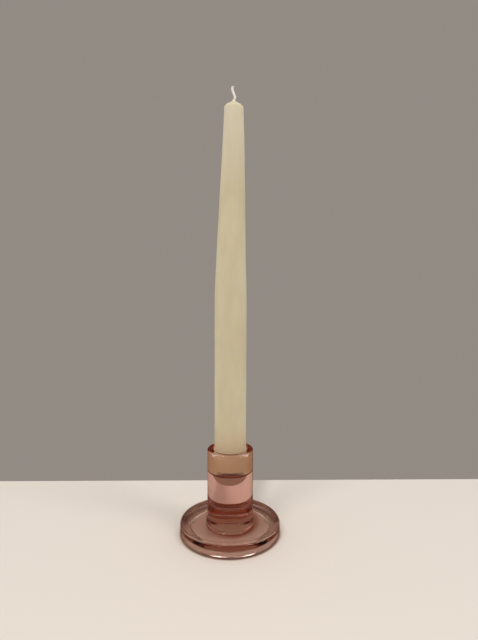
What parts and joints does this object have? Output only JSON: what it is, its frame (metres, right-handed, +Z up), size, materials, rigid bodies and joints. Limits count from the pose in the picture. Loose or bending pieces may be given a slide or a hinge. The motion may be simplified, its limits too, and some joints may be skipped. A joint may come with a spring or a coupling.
{
  "type": "glass candlestick",
  "caption": "Pressed rose glass candlestick with a rimmed round foot and a thick stem, holding a tapered ivory dinner candle that lifts out of its socket.",
  "frame": {"origin": "centre of the face that the foot stands on", "axes": "+Z up the stem and the candle, +X to the right and -Y towards the front as it is pictured; the holder is round about Z"},
  "size_m": [0.07, 0.07, 0.3061],
  "materials": {
    "rose_glass": "clear, fire-polished, tinted rose through the body",
    "ivory_wax": "ivory wax, satin and slightly translucent",
    "cotton_wick": "braided white cotton"
  },
  "bodies": {
    "holder": {"glass_holder": "rose_glass"},
    "candle": {"candle_wax": "ivory_wax", "candle_wick": "cotton_wick"}
  },
  "joints": [
    {"name": "candle_lift", "type": "slide", "parent": "holder", "child": "candle", "axis": [0, 0, 1], "range_m": [0, 0.03]}
  ]
}
